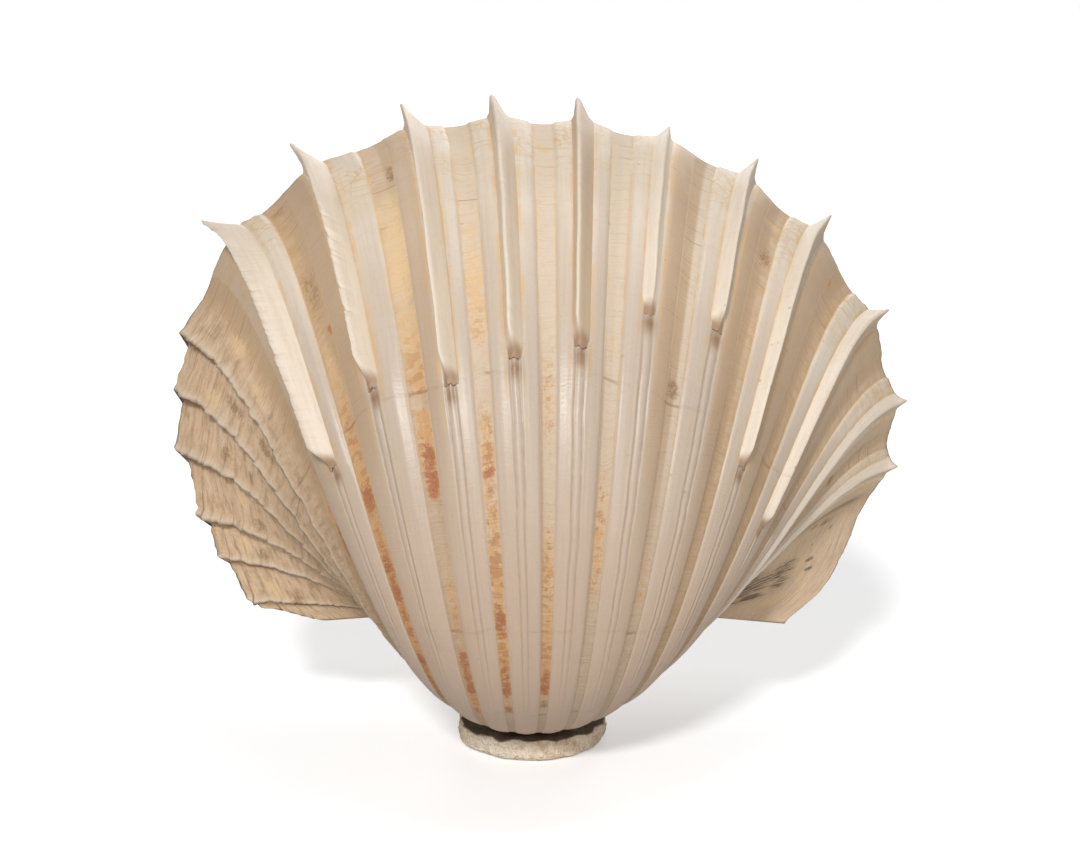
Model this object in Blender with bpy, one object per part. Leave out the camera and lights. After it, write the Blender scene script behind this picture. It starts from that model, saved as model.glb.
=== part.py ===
"""One valve of a large ribbed cockle, beak down and hollow side back, on a small rough stone disc.

Every growth line of the valve is the same outline turned about the hinge and shrunk toward the beak.
Positions are millimetres until the last step. The shell's own frame is across, toward the free
margin, and out of the plane of the margin. Then the shell leans back and its foot goes to the origin.
"""

import math

import bmesh
import bpy
import numpy as np
from mathutils import Vector, noise

# How the shell grows
SHRINK_PER_TURN = 0.507
SHRINK_BULGE = 0.031
BEAK_TWIST = 4.0
HINGE_DROP = 2.7
LAST_TURN = 180.0
LEAN_BACK = 25.0

# Outline of the margin between the ribs: angle from straight up seen from outside, distance from the beak
MARGIN = (
    (-94, 35.5), (-89, 38.0), (-81, 44.0), (-74, 48.5), (-66, 54.5), (-58, 59.5), (-50, 64.0),
    (-42, 67.5), (-34, 69.6), (-26, 71.0), (-18, 71.6), (-10, 71.3), (0, 70.6), (10, 70.2),
    (20, 69.4), (28, 68.0), (36, 66.6), (44, 64.0), (52, 61.2), (60, 57.6), (68, 52.3),
    (75, 46.0), (81, 42.8), (87, 39.5), (94, 34.0),
)

# Keeled ribs from left to right: middle of the rib, tip of its keel, keel height, turn where it is broken off
KEELED = (
    (-39.0, -41.0, 5.4, 64.0),
    (-27.3, -27.9, 5.4, 56.0),
    (-14.7, -15.2, 4.4, 59.0),
    (-4.6, -5.1, 4.0, 56.0),
    (5.3, 4.5, 4.0, 54.0),
    (15.4, 15.2, 2.4, 47.0),
    (26.3, 26.1, 3.8, 45.0),
    (37.0, 36.7, 3.8, 64.0),
    (49.5, 49.6, 3.0, 70.0),
    (60.6, 60.8, 2.0, 150.0),
    (68.6, 68.8, 1.9, 150.0),
)
# Middles of the flat spaces beside the keeled ribs
SPACES = (-46.5, -33.8, -20.0, -9.9, 0.4, 10.2, 20.8, 31.6, 43.6, 55.4, 64.8, 72.6)
# Low rough ribs at the left: angle and height of each crest
LOW_RIBS = ((-89.0, 0.9), (-81.5, 1.0), (-75.0, 1.6), (-66.6, 1.4), (-59.2, 1.5), (-52.5, 1.4))
# Smooth slope at the right
SLOPE = (76.5, 80.5, 85.0, 89.5)

SHOULDER_HEIGHT = 0.9
SHOULDER_FOOT_HEIGHT = 0.12
# Where the side of a rib begins and ends, as a share of the way from the space to its keel
SHOULDER_FOOT = 0.37
SHOULDER_TOP = 0.60
KEEL_HALF_WIDTH = 1.15
CREST_HALF_WIDTH = 0.30
SPIKE = 0.7
GROOVE_HEIGHT = 0.75

# Turns of the growth lines, from the margin to the beak
GROWTH_LINES = (0, 4, 9, 15, 21, 27, 33, 39, 45, 51, 56, 60, 64, 70, 77, 85, 94, 104, 115, 127, 140, 153, 167, 180)

# The hollow
WALL_AT_MARGIN = 1.5
WALL_AT_BEAK = 2.3
HINGE_PLATE = 5.4
HOLLOW_TURNS = (-4, 0, 8, 17, 27, 38, 50, 63, 77, 92, 108, 124, 138, 150)
HOLLOW_ARC_POINTS = 44
HOLLOW_HINGE_POINTS = 12

# The foot: middle of its flat underside measured from the beak's apex
FOOT_MIDDLE = (-0.8, -5.0, -17.3)
FOOT_RADIUS = 9.9
FOOT_HEIGHT = 3.1
FOOT_ROUGHNESS = 0.45
# Ball that hollows the foot's top under the beak, with a gap of 0.3 mm: middle above the foot, and radius
SEAT_MIDDLE = (-0.7, -3.8, 18.7)
SEAT_RADIUS = 15.95


def scale_at(turn):
    """Size of a growth line compared with the margin."""
    angle = math.radians(turn)
    return math.exp(-SHRINK_PER_TURN * angle + SHRINK_BULGE * angle * (math.pi - angle))


def margin_radius(angle):
    angles, radii = zip(*MARGIN)
    return float(np.interp(angle, angles, radii))


def grown(turn, across, reach):
    """A point of the growth line at this turn, from its place across and its reach from the hinge line."""
    size = scale_at(turn)
    angle = math.radians(turn)
    x = size * (across - BEAK_TWIST) + BEAK_TWIST * (1 - (turn / LAST_TURN) ** 2)
    return Vector((x, reach * math.cos(angle) - size * HINGE_DROP, reach * math.sin(angle)))


def stood_up(point):
    """From the shell's own frame in millimetres to the leaning shell in metres."""
    lean = math.radians(LEAN_BACK)
    x, up, out = point
    world = Vector((x, up * math.sin(lean) - out * math.cos(lean), up * math.cos(lean) + out * math.sin(lean)))
    return (world - Vector(FOOT_MIDDLE)) * 0.001


def keel_height(height, broken_at, turn):
    """Height of a keel above the spaces: spiked at the margin, gone past its broken end."""
    if turn == 0:
        return height + SPIKE
    if turn > broken_at:
        return GROOVE_HEIGHT
    fade = min(1.0, max(0.0, (LAST_TURN - turn) / 110.0))
    return GROOVE_HEIGHT + (height - GROOVE_HEIGHT) * (0.35 + 0.65 * fade)


def rib_columns():
    """Angle and height above the spaces of each line that runs from the margin to the beak."""
    columns = [(MARGIN[0][0] - 0.4, lambda turn: 0.0)]
    for number, (crest, height) in enumerate(LOW_RIBS):
        following = LOW_RIBS[number + 1][0] if number + 1 < len(LOW_RIBS) else SPACES[0]
        gap = following - crest
        columns.append((crest, lambda turn, h=height: h))
        columns.append((crest + 0.25 * gap, lambda turn, h=height: 0.55 * h))
        columns.append((crest + 0.60 * gap, lambda turn: 0.0))
        columns.append((crest + 0.85 * gap, lambda turn: -0.2))
    for number, (middle, tip, height, broken_at) in enumerate(KEELED):
        before, after = SPACES[number], SPACES[number + 1]
        left, right = middle - KEEL_HALF_WIDTH, middle + KEEL_HALF_WIDTH
        columns.append((before, lambda turn: 0.0))
        columns.append((before + SHOULDER_FOOT * (left - before), lambda turn: SHOULDER_FOOT_HEIGHT))
        columns.append((before + SHOULDER_TOP * (left - before), lambda turn: SHOULDER_HEIGHT))
        columns.append((left, lambda turn: SHOULDER_HEIGHT))
        columns.append((middle, tip, -CREST_HALF_WIDTH, height, broken_at))
        columns.append((middle, tip, CREST_HALF_WIDTH, height, broken_at))
        columns.append((right, lambda turn: SHOULDER_HEIGHT))
        columns.append((after - SHOULDER_TOP * (after - right), lambda turn: SHOULDER_HEIGHT))
        columns.append((after - SHOULDER_FOOT * (after - right), lambda turn: SHOULDER_FOOT_HEIGHT))
    columns.append((SPACES[-1], lambda turn: 0.0))
    for angle in SLOPE:
        columns.append((angle, lambda turn: 0.0))
    columns.append((MARGIN[-1][0] + 0.4, lambda turn: 0.0))
    return columns


def column_point(column, turn):
    """Where one rib line crosses the growth line at this turn."""
    if len(column) == 2:
        angle, height_at = column
        height = height_at(turn)
    else:
        middle, tip, side, keel, broken_at = column
        height = keel_height(keel, broken_at, turn)
        lean = (height - GROOVE_HEIGHT) / (keel - GROOVE_HEIGHT)
        angle = middle + (tip - middle) * lean + side
    radius = margin_radius(angle) + height
    across = radius * math.sin(math.radians(angle))
    reach = max(0.0, radius * math.cos(math.radians(angle)) + HINGE_DROP)
    return across, reach


def outer_solid(name, collection):
    """The valve without its hollow: ribbed outside, closed by the flat plane of the margin."""
    columns = rib_columns()
    mesh = bmesh.new()
    rows = []
    for turn in GROWTH_LINES:
        row = []
        for number, column in enumerate(columns):
            across, reach = column_point(column, turn)
            if number in (0, len(columns) - 1):
                reach = 0.0
            row.append(mesh.verts.new(grown(turn, across, scale_at(turn) * reach)))
        rows.append(row)
    for low, high in zip(rows, rows[1:]):
        for i in range(len(columns) - 1):
            mesh.faces.new((low[i], low[i + 1], high[i + 1], high[i]))
    rim = [edge for edge in mesh.edges if edge.is_boundary]
    bmesh.ops.edgeloop_fill(mesh, edges=rim)
    bmesh.ops.triangulate(mesh, faces=mesh.faces[:])
    bmesh.ops.recalc_face_normals(mesh, faces=mesh.faces[:])
    return finished(mesh, name, collection)


def hollow_ring(turn):
    """Section of the hollow at this turn: an arc under the wall, closed along the hinge plate."""
    size = scale_at(max(turn, 0.0))
    share = max(turn, 0.0) / LAST_TURN
    wall = WALL_AT_MARGIN + (WALL_AT_BEAK - WALL_AT_MARGIN) * share
    plate = HINGE_PLATE - 1.0 * share
    ends = []
    for side in (-1, 1):
        angle = 86.0 * side
        for _ in range(8):
            radius = size * margin_radius(angle) - wall
            angle = side * math.degrees(math.acos(min(0.95, (plate - size * HINGE_DROP) / radius)))
        ends.append(angle)
    points = []
    for i in range(HOLLOW_ARC_POINTS):
        angle = ends[0] + (ends[1] - ends[0]) * i / (HOLLOW_ARC_POINTS - 1)
        radius = size * margin_radius(angle) - wall
        points.append((radius * math.sin(math.radians(angle)), radius * math.cos(math.radians(angle)) + size * HINGE_DROP))
    first, last = points[0], points[-1]
    for i in range(1, HOLLOW_HINGE_POINTS):
        share = i / HOLLOW_HINGE_POINTS
        points.append((last[0] + (first[0] - last[0]) * share, plate))
    return [grown(turn, across / size, reach) for across, reach in points]


def hollow_solid(name, collection):
    """The hollow as a closed body that reaches a little past the plane of the margin."""
    mesh = bmesh.new()
    rings = [[mesh.verts.new(point) for point in hollow_ring(turn)] for turn in HOLLOW_TURNS]
    deepest = hollow_ring(HOLLOW_TURNS[-1] + 5)
    middle = sum(deepest, Vector()) / len(deepest)
    rings.append([mesh.verts.new(middle + (point - middle) * 0.6) for point in deepest])
    count = len(rings[0])
    for low, high in zip(rings, rings[1:]):
        for i in range(count):
            j = (i + 1) % count
            mesh.faces.new((low[i], low[j], high[j], high[i]))
    mesh.faces.new(rings[0])
    mesh.faces.new(rings[-1])
    bmesh.ops.triangulate(mesh, faces=mesh.faces[:])
    bmesh.ops.recalc_face_normals(mesh, faces=mesh.faces[:])
    return finished(mesh, name, collection)


def finished(mesh, name, collection, stand=True):
    """Turns the working mesh into an object of the collection."""
    if stand:
        for vertex in mesh.verts:
            vertex.co = stood_up(vertex.co)
    data = bpy.data.meshes.new(name)
    mesh.to_mesh(data)
    mesh.free()
    made = bpy.data.objects.new(name, data)
    collection.objects.link(made)
    return made


def foot_solid(name, collection):
    """A low disc with worn edges, uneven sides and a flat underside."""
    mesh = bmesh.new()
    bmesh.ops.create_cone(
        mesh, cap_ends=True, cap_tris=False, segments=40,
        radius1=FOOT_RADIUS * 0.001, radius2=FOOT_RADIUS * 0.001, depth=FOOT_HEIGHT * 0.001,
    )
    sides = [edge for edge in mesh.edges if abs(edge.verts[0].co.z - edge.verts[1].co.z) > 0.0001]
    bmesh.ops.subdivide_edges(mesh, edges=sides, cuts=3)
    for vertex in mesh.verts:
        vertex.co.z += FOOT_HEIGHT * 0.0005
        level = vertex.co.z / (FOOT_HEIGHT * 0.001)
        bump = noise.noise(vertex.co * 420 + Vector((3.1, 0.4, 7.7)))
        worn = 0.95 if level > 0.98 else (0.965 if level < 0.02 else 1.0)
        swell = worn * (1 + bump * FOOT_ROUGHNESS / FOOT_RADIUS)
        vertex.co.x *= swell
        vertex.co.y *= swell
        if level > 0.98:
            vertex.co.z += 0.0004 * noise.noise(vertex.co * 300)
    bmesh.ops.triangulate(mesh, faces=mesh.faces[:])
    bmesh.ops.recalc_face_normals(mesh, faces=mesh.faces[:])
    return finished(mesh, name, collection, stand=False)


def seat_solid(name, collection):
    """The round hollow in the foot's top in which the beak sits."""
    mesh = bmesh.new()
    bmesh.ops.create_uvsphere(mesh, u_segments=40, v_segments=32, radius=SEAT_RADIUS * 0.001)
    bmesh.ops.translate(mesh, verts=mesh.verts[:], vec=Vector(SEAT_MIDDLE) * 0.001)
    return finished(mesh, name, collection, stand=False)


def boolean(target, cutter, operation):
    cut = target.modifiers.new(cutter.name, "BOOLEAN")
    cut.operation = operation
    cut.solver = "EXACT"
    cut.object = cutter
    return cut


def material(name, colour, roughness):
    made = bpy.data.materials.new(name)
    made.use_nodes = True
    shader = made.node_tree.nodes["Principled BSDF"]
    shader.inputs["Base Color"].default_value = (*colour, 1.0)
    shader.inputs["Roughness"].default_value = roughness
    made.diffuse_color = (*colour, 1.0)
    return made


def helper(made):
    made.hide_render = True
    made.display_type = "WIRE"


def main():
    for thing in list(bpy.data.objects):
        bpy.data.objects.remove(thing)
    parts = bpy.data.collections.new("heart_cockle_shell")
    cutters = bpy.data.collections.new("cutters")
    cutters.hide_render = True
    bpy.context.scene.collection.children.link(parts)
    bpy.context.scene.collection.children.link(cutters)

    valve = outer_solid("valve", parts)
    hollow = hollow_solid("hollow", cutters)
    helper(hollow)
    boolean(valve, hollow, "DIFFERENCE")
    valve.data.materials.append(material("shell", (0.72, 0.62, 0.50), 0.42))

    foot = foot_solid("foot", parts)
    seat = seat_solid("seat", cutters)
    helper(seat)
    boolean(foot, seat, "DIFFERENCE")
    foot.data.materials.append(material("stone", (0.55, 0.49, 0.40), 0.9))


main()
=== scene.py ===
"""Looks of a ribbed cockle valve that stands beak down on a small rough stone foot.

The shell is one margin outline that turns about the hinge and shrinks toward the beak. Each piece is
first written as rows of growth lines: place across, reach from the hinge and turn. One Geometry Nodes
tree then coils them. Growth is in millimetres and degrees, and the coiled shell in metres.
"""

import math

import bmesh
import bpy
import numpy as np
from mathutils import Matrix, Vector, noise


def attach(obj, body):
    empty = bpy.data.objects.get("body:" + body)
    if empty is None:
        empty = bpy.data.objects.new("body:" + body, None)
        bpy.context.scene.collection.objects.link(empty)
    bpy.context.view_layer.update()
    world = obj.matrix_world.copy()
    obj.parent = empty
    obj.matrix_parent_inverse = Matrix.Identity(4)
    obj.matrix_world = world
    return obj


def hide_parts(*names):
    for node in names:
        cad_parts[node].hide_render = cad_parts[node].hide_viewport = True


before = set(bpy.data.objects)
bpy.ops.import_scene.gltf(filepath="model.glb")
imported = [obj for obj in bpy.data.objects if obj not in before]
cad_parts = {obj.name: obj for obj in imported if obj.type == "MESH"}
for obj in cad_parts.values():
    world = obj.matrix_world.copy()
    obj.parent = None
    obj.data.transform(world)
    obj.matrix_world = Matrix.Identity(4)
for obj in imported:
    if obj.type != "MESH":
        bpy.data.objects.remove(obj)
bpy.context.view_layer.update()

# How the shell grows
SHRINK_PER_TURN = 0.507
SHRINK_BULGE = 0.031
BEAK_TWIST = 4.0
HINGE_DROP = 2.7
LEAN_BACK = 25.0
FOOT_MIDDLE = (-0.8, -5.0, -17.3)
LAST_TURN = 180.0

# Outline of the margin between the ribs: angle from straight up seen from outside, distance from the beak
MARGIN = (
    (-94, 35.5), (-89, 38.0), (-81, 44.0), (-74, 48.5), (-66, 54.5), (-58, 59.5), (-50, 64.0),
    (-42, 67.5), (-34, 69.6), (-26, 71.0), (-18, 71.6), (-10, 71.3), (0, 70.6), (10, 70.2),
    (20, 69.4), (28, 68.0), (36, 66.6), (44, 64.0), (52, 61.2), (60, 57.6), (68, 52.3),
    (75, 46.0), (81, 42.8), (87, 39.5), (94, 34.0),
)
# Keeled ribs from left to right: middle of the rib, tip of its keel, keel height, turn where it is broken off
KEELED = (
    (-39.0, -41.0, 5.4, 64.0),
    (-27.3, -27.9, 5.4, 56.0),
    (-14.7, -15.2, 4.4, 59.0),
    (-4.6, -5.1, 4.0, 56.0),
    (5.3, 4.5, 4.0, 54.0),
    (15.4, 15.2, 2.4, 47.0),
    (26.3, 26.1, 3.8, 45.0),
    (37.0, 36.7, 3.8, 64.0),
    (49.5, 49.6, 3.0, 70.0),
    (60.6, 60.8, 2.0, 150.0),
    (68.6, 68.8, 1.9, 150.0),
)
SPACES = (-46.5, -33.8, -20.0, -9.9, 0.4, 10.2, 20.8, 31.6, 43.6, 55.4, 64.8, 72.6)
LOW_RIBS = ((-89.0, 0.9), (-81.5, 1.0), (-75.0, 1.6), (-66.6, 1.4), (-59.2, 1.5), (-52.5, 1.4))
SLOPE_END = 94.4
LEFT_END = -94.4
# Height of a rib where its keel begins
SHOULDER_HEIGHT = 1.0
# How brown each space is, from left to right; on the right half the tan is partly painted shade cast by the
# keels
SPACE_TINTS = (0.9, 0.85, 0.50, 0.26, 0.16, 0.08, 0.05, 0.66, 0.78, 0.62, 0.60, 0.60)
# How tan each rib is on its left and right side: tan, with painted shade on the sides that face away from the
# light
LEFT_SIDE_TAN_AND_SHADE = (0.8, 1.0, 0.7, 0.1, 0.0, 0.0, 0.0, 0.0, 0.0, 0.2, 0.2)
RIGHT_SIDE_TAN_AND_SHADE = (0.0, 0.0, 0.0, 0.0, 0.1, 0.95, 1.0, 1.0, 1.0, 0.8, 0.7)
# Steps in the surface: growth turn and depth of each
GROWTH_CHECKS = ((60.0, 0.07), (103.0, 0.10), (20.5, 0.05), (33.0, 0.04), (84.0, 0.05), (126.0, 0.08))

# Wall, hinge plate and hollow
WALL_AT_MARGIN = 1.5
WALL_AT_BEAK = 2.3
HINGE_PLATE = 5.4
DEEPEST_TURN = 150.0
# The hollow's rings follow the columns between these angles, and its last ring is this much smaller
HOLLOW_END = 84.0
CAP_SIZE = 0.62

FOOT_RADIUS = 9.9
FOOT_HEIGHT = 3.1
SEAT_MIDDLE = (-0.7, -3.8, 18.7)
SEAT_RADIUS = 15.95

SKY_LIGHT = 0.27
SKY_SEEN = 1.0

KEEL_ROWS = 220
SHELL_ROWS = 132
HOLLOW_ROWS = 44


# Numbers that describe the growth

def smooth(start, end, value):
    """0 at start, 1 at end, and an even slope between."""
    share = np.clip((value - start) / (end - start), 0.0, 1.0)
    return share * share * (3.0 - 2.0 * share)


def bump(middle, width, value):
    return np.exp(-(((value - middle) / width) ** 2))


def size_at(turn):
    """Size of a growth line compared with the margin."""
    radians = np.radians(turn)
    return np.exp(-SHRINK_PER_TURN * radians + SHRINK_BULGE * radians * (math.pi - radians))


FINE_ANGLES = np.arange(-96.0, 96.01, 0.25)
_rough_radii = np.interp(FINE_ANGLES, *zip(*MARGIN))
_window = np.hanning(25) / np.hanning(25).sum()
FINE_RADII = np.convolve(np.pad(_rough_radii, 12, mode="edge"), _window, mode="valid")


def margin_radius(angle):
    return np.interp(angle, FINE_ANGLES, FINE_RADII)


def waves(value, seed, scale):
    """Even noise between about -1 and 1, the same each time."""
    flat = np.asarray(value, float).ravel()
    made = [noise.noise(Vector((v * scale, seed * 7.31, seed * 2.17))) for v in flat]
    return np.array(made).reshape(np.shape(value))


def sheet_waves(first, second, seed, first_scale, second_scale):
    """Noise over a table of rows and columns."""
    made = [
        noise.noise(Vector((a * first_scale, b * second_scale, seed * 3.7)))
        for a, b in zip(np.ravel(first), np.ravel(second))
    ]
    return np.array(made).reshape(np.shape(first))


# Tree that coils a growth table into the shell

class Nodes:
    """Adds nodes to one tree: sums, masks and colour mixes."""

    def __init__(self, tree):
        self.tree = tree

    def plug(self, socket, value):
        """Links a socket to another one, or gives it a plain value."""
        if isinstance(value, bpy.types.NodeSocket):
            self.tree.links.new(value, socket)
        else:
            socket.default_value = value

    def node(self, kind, plugs=(), **settings):
        made = self.tree.nodes.new(kind)
        for label, value in settings.items():
            setattr(made, label, value)
        for place, value in dict(plugs).items():
            self.plug(made.inputs[place], value)
        return made

    def make(self, operation, *values):
        return self.node("ShaderNodeMath", enumerate(values), operation=operation).outputs[0]

    def add(self, a, b):
        return self.make("ADD", a, b)

    def less(self, a, b):
        return self.make("SUBTRACT", a, b)

    def times(self, first, *others):
        for value in others:
            first = self.make("MULTIPLY", first, value)
        return first

    def between(self, value, low, high):
        """0 below low, 1 above high."""
        plugs = {"Value": value, "From Min": low, "From Max": high}
        return self.node("ShaderNodeMapRange", plugs, interpolation_type="SMOOTHSTEP").outputs["Result"]

    def mix(self, share, first, second, kind="MIX"):
        """Mixes two colours, each a socket or a plain colour."""
        plugs = {0: share}
        for place, value in ((6, first), (7, second)):
            plugs[place] = (*value, 1.0) if isinstance(value, tuple) else value
        settings = {"data_type": "RGBA", "blend_type": kind, "clamp_factor": True}
        return self.node("ShaderNodeMix", plugs, **settings).outputs[2]

    def mask(self, label):
        """A value that is written on the points of the mesh."""
        return self.node("ShaderNodeAttribute", attribute_name=label).outputs["Fac"]

    def noise(self, vector, scale, detail, roughness):
        plugs = {"Vector": vector, "Scale": scale, "Detail": detail, "Roughness": roughness}
        return self.node("ShaderNodeTexNoise", plugs).outputs["Fac"]

    def growth_noise(self, across, along, detail, roughness):
        """Noise in the shell's angle and growth, stretched for grain that follows the growth lines."""
        plugs = {0: self.times(self.mask("angle"), across), 1: self.times(self.mask("growth"), along)}
        return self.noise(self.node("ShaderNodeCombineXYZ", plugs).outputs[0], 1.0, detail, roughness)

    def use(self, shader_group, plugs):
        return self.node("ShaderNodeGroup", plugs, node_tree=shader_group).outputs


COIL_VALUES = {
    "Shrink per turn": SHRINK_PER_TURN, "Shrink bulge": SHRINK_BULGE, "Beak twist": BEAK_TWIST,
    "Hinge drop": HINGE_DROP, "Lean back": math.radians(LEAN_BACK),
    "Beak across": -FOOT_MIDDLE[0], "Beak depth": -FOOT_MIDDLE[1], "Beak height": -FOOT_MIDDLE[2],
}


def coil_tree():
    """Turns each point about the hinge, shrinks it toward the beak and leans the shell back."""
    tree = bpy.data.node_groups.new("coil the growth lines", "GeometryNodeTree")
    tree.interface.new_socket("Growth table", in_out="INPUT", socket_type="NodeSocketGeometry")
    for label in COIL_VALUES:
        tree.interface.new_socket(label, in_out="INPUT", socket_type="NodeSocketFloat")
    for label in ("Outside", "Inside"):
        tree.interface.new_socket(label, in_out="INPUT", socket_type="NodeSocketMaterial")
    tree.interface.new_socket("Shell", in_out="OUTPUT", socket_type="NodeSocketGeometry")
    nodes = Nodes(tree)
    given = nodes.node("NodeGroupInput").outputs

    def written(label, kind="FLOAT"):
        made = nodes.node("GeometryNodeInputNamedAttribute", {"Name": label}, data_type=kind)
        return made.outputs["Attribute"]

    across, reach, turn = written("across"), written("reach"), written("turn")
    bulge = nodes.times(given["Shrink bulge"], turn, nodes.less(math.pi, turn))
    size = nodes.make("EXPONENT", nodes.less(bulge, nodes.times(given["Shrink per turn"], turn)))
    share = nodes.times(turn, 1.0 / math.pi)
    twist_left = nodes.less(nodes.less(1.0, nodes.times(share, share)), size)
    x = nodes.add(nodes.times(size, across), nodes.times(given["Beak twist"], twist_left))
    real_reach = nodes.times(size, reach)
    drop = nodes.times(size, given["Hinge drop"])
    up = nodes.less(nodes.times(real_reach, nodes.make("COSINE", turn)), drop)
    out = nodes.times(real_reach, nodes.make("SINE", turn))
    lean_sine, lean_cosine = (nodes.make(name, given["Lean back"]) for name in ("SINE", "COSINE"))
    y = nodes.less(nodes.times(up, lean_sine), nodes.times(out, lean_cosine))
    z = nodes.add(nodes.times(up, lean_cosine), nodes.times(out, lean_sine))
    offsets = zip("XYZ", (x, y, z), ("Beak across", "Beak depth", "Beak height"))
    metres = {axis: nodes.times(nodes.add(value, given[label]), 0.001) for axis, value, label in offsets}
    place = nodes.node("ShaderNodeCombineXYZ", metres).outputs[0]
    put = nodes.node("GeometryNodeSetPosition", {"Geometry": given["Growth table"], "Position": place})
    real = nodes.node("GeometryNodeRealizeInstances", {0: put.outputs[0]})
    outside = {"Geometry": real.outputs[0], "Material": given["Outside"]}
    outside = nodes.node("GeometryNodeSetMaterial", outside)
    inside = {"Geometry": outside.outputs[0], "Material": given["Inside"]}
    inside["Selection"] = written("hollow side", "BOOLEAN")
    inside = nodes.node("GeometryNodeSetMaterial", inside)
    nodes.node("NodeGroupOutput", {0: inside.outputs[0]})
    return tree


def placed(name, data):
    """Puts a new object in the scene."""
    made = bpy.data.objects.new(name, data)
    bpy.context.scene.collection.objects.link(made)
    return made


def coiled(name, table, faces, inside_faces, tree, outside, inside):
    """Makes a mesh of the growth table, coils it, and returns it as a plain object.

    table holds across, reach, turn and any finish masks, each a flat list with one value a point.
    """
    count = np.size(table["turn"])
    data = bpy.data.meshes.new(name)
    data.from_pydata(np.zeros((count, 3)).tolist(), [], faces)
    for label, values in table.items():
        attribute = data.attributes.new(label, "FLOAT", "POINT")
        attribute.data.foreach_set("value", np.asarray(values, np.float32).ravel())
    marks = data.attributes.new("hollow side", "BOOLEAN", "FACE")
    marks.data.foreach_set("value", np.asarray(inside_faces, bool))
    flat = placed(name + " table", data)
    coil = flat.modifiers.new("coil", "NODES")
    coil.node_group = tree
    values = {**COIL_VALUES, "Outside": outside, "Inside": inside}
    for item in tree.interface.items_tree:
        if item.name in values:
            coil[item.identifier] = values[item.name]
    graph = bpy.context.evaluated_depsgraph_get()
    graph.update()
    mesh = bpy.data.meshes.new_from_object(flat.evaluated_get(graph), depsgraph=graph)
    bpy.data.objects.remove(flat)
    mesh.name = name
    return placed(name, mesh)


def ring_faces(rings):
    """Four-sided faces between closed rings of point numbers, each ring joined to the next."""
    faces = []
    for first, second in zip(rings, rings[1:]):
        faces += np.stack([first, second, np.roll(second, -1), np.roll(first, -1)], 1).tolist()
    return faces


def write_mesh(mesh, data):
    """Turns the faces outward, smooths them and writes them."""
    bmesh.ops.recalc_face_normals(mesh, faces=mesh.faces[:])
    for face in mesh.faces:
        face.smooth = True
    mesh.to_mesh(data)
    mesh.free()


# The shell's outer surface

def rib_places(angle):
    """The keeled rib at each angle: its number, the place on it (0 in its middle, -1 and 1 at its spaces),
    its middle, and the turn where its keel is broken off."""
    spaces = np.array(SPACES)
    middles = np.array([rib[0] for rib in KEELED])
    number = np.clip(np.searchsorted(spaces, angle) - 1, 0, len(KEELED) - 1)
    middle = middles[number]
    before, after = spaces[number], spaces[number + 1]
    place = (angle - middle) / np.where(angle < middle, middle - before, after - middle)
    return number, np.clip(place, -1.0, 1.0), middle, np.array([rib[3] for rib in KEELED])[number]


def side_tan_and_shade(number, place):
    """How tan the rib is on the side where the place lies, with painted shade where that side faces away from
    the light.
    """
    return np.where(place > 0, np.array(RIGHT_SIDE_TAN_AND_SHADE)[number], np.array(LEFT_SIDE_TAN_AND_SHADE)[number])


def off_core(angle, turn, number, middle):
    """Distance in degrees from the core of a broken keel, which wanders a little."""
    return np.abs(angle - middle + 0.18 * sheet_waves(number * 7.0, turn, 15.0, 1.0, 0.16))


def shell_columns():
    """Angles of the lines that run from margin to beak, closer together where the relief is steep."""
    angles = [np.linspace(LEFT_END, LOW_RIBS[0][0] - 1.0, 6, endpoint=False)]
    crests = [rib[0] for rib in LOW_RIBS] + [SPACES[0]]
    shares = np.array([-0.10, -0.03, 0.0, 0.05, 0.12, 0.20, 0.29, 0.38, 0.47, 0.56, 0.65, 0.74, 0.82])
    for low, high in zip(crests, crests[1:]):
        angles.append(low + (high - low) * shares)
    steps = np.array([0.0, 0.08, 0.15, 0.20, 0.225, 0.245, 0.265, 0.29, 0.33, 0.40, 0.48])
    for number, (middle, _, _, _) in enumerate(KEELED):
        before, after = SPACES[number], SPACES[number + 1]
        left, right = middle - before, after - middle
        top_left = np.linspace(0.56, 1.0 - 1.5 / left, 3)
        top_right = np.linspace(0.56, 1.0 - 1.5 / right, 3)
        angles.append(before + left * np.concatenate([steps, top_left]))
        angles.append(np.linspace(middle - 1.28, middle + 1.28, 17))
        angles.append((after - right * np.concatenate([steps, top_right]))[:0:-1])
    angles.append(np.linspace(SPACES[-1], SLOPE_END, 46))
    return np.concatenate(angles)


def growth_rows(last, count, power=0.8):
    """Turns of the growth lines, spaced evenly along the shell."""
    fine = np.linspace(0.0, last, 2000)
    travelled = np.concatenate([[0.0], np.cumsum(size_at(fine[:-1]) ** power * np.diff(fine))])
    return np.interp(np.linspace(0.0, travelled[-1], count), travelled, fine)


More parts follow.
